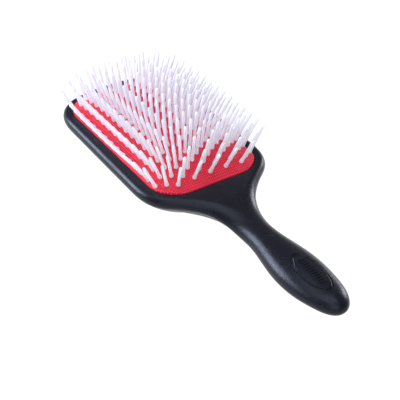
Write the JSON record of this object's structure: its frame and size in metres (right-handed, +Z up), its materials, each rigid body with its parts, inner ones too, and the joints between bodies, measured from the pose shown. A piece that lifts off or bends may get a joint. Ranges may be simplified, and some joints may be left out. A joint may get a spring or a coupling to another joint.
{
  "type": "paddle hairbrush",
  "caption": "Cushioned paddle hairbrush: one-piece moulded head and rounded handle, domed rubber cushion clipped into the head, and strips of round-ended nylon pins standing through it.",
  "frame": {"origin": "middle of the brush's length and width, on the surface that its back lies on", "axes": "+Y from the handle's end to the head's end, +Z up from the back through the pins, +X to the right seen from above"},
  "size_m": [0.0898, 0.25, 0.0478],
  "materials": {
    "frame_plastic": "satin moulded black plastic",
    "cushion_rubber": "red rubber with a fine knurled face",
    "pin_nylon": "white nylon, semi-gloss"
  },
  "bodies": {
    "frame": {"handle_frame": "frame_plastic", "cushion_pad": "cushion_rubber"},
    "pins": {"pin_strip_01": "pin_nylon", "pin_strip_02": "pin_nylon", "pin_strip_03": "pin_nylon", "pin_strip_04": "pin_nylon", "pin_strip_05": "pin_nylon", "pin_strip_06": "pin_nylon", "pin_strip_07": "pin_nylon", "pin_strip_08": "pin_nylon", "pin_strip_09": "pin_nylon", "pin_strip_10": "pin_nylon", "pin_strip_11": "pin_nylon", "pin_strip_12": "pin_nylon", "pin_strip_13": "pin_nylon"}
  },
  "joints": [
    {"name": "cushion_press", "type": "slide", "parent": "frame", "child": "pins", "axis": [0, 0, -1], "range_m": [0, 0.0025], "stiffness_N_per_m": 6000, "deforming": ["cushion_pad"]}
  ]
}
